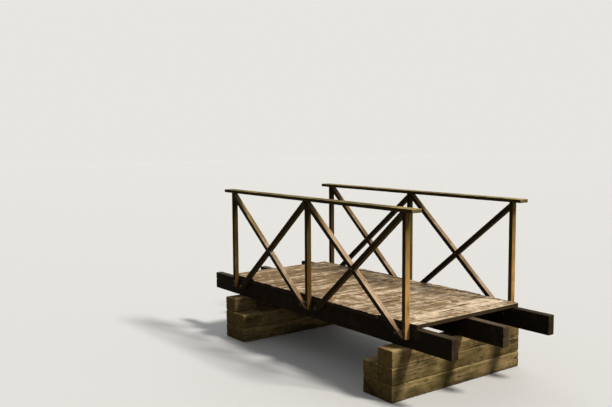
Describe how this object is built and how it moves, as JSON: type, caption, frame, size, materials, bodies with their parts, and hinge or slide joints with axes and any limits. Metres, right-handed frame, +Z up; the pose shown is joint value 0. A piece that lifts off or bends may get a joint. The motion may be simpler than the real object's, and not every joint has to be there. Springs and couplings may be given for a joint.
{
  "type": "wooden footbridge",
  "caption": "Short flat wooden footbridge with a plank deck on long beams, timber railings with crossed braces and flat handrails, standing on stacked timber sills.",
  "frame": {"origin": "on the ground, under the middle of the deck", "axes": "+X along the bridge from bank to bank, +Y across it, +Z up; the near railing is towards -Y"},
  "size_m": [4.21, 1.9, 1.86],
  "materials": {
    "beam_timber": "dark, damp, rough-sawn timber",
    "brace_timber": "dark weathered timber, greyer on its upper faces",
    "deck_plank": "bleached grey-tan rough planks with worn grain",
    "handrail_timber": "weathered board, bleached and hand-worn on top",
    "post_timber": "brown weathered timber, greenish towards the foot",
    "sill_timber": "old heavy timber with moss and dirt"
  },
  "bodies": {
    "root": {"beam_far": "beam_timber", "beam_middle": "beam_timber", "beam_near": "beam_timber", "brace_far_left_falling": "brace_timber", "brace_far_left_rising": "brace_timber", "brace_far_right_falling": "brace_timber", "brace_far_right_rising": "brace_timber", "brace_near_left_falling": "brace_timber", "brace_near_left_rising": "brace_timber", "brace_near_right_falling": "brace_timber", "brace_near_right_rising": "brace_timber", "deck_planks_left_bay": "deck_plank", "deck_planks_left_end": "deck_plank", "deck_planks_middle": "deck_plank", "deck_planks_right_bay": "deck_plank", "deck_planks_right_end": "deck_plank", "handrail_far": "handrail_timber", "handrail_near": "handrail_timber", "post_far_left": "post_timber", "post_far_middle": "post_timber", "post_far_right": "post_timber", "post_near_left": "post_timber", "post_near_middle": "post_timber", "post_near_right": "post_timber", "sill_left_base_bank": "sill_timber", "sill_left_base_stream": "sill_timber", "sill_left_middle_bank": "sill_timber", "sill_left_middle_stream": "sill_timber", "sill_left_top": "sill_timber", "sill_right_base_bank": "sill_timber", "sill_right_base_stream": "sill_timber", "sill_right_middle_bank": "sill_timber", "sill_right_middle_stream": "sill_timber", "sill_right_top": "sill_timber"}
  },
  "joints": []
}
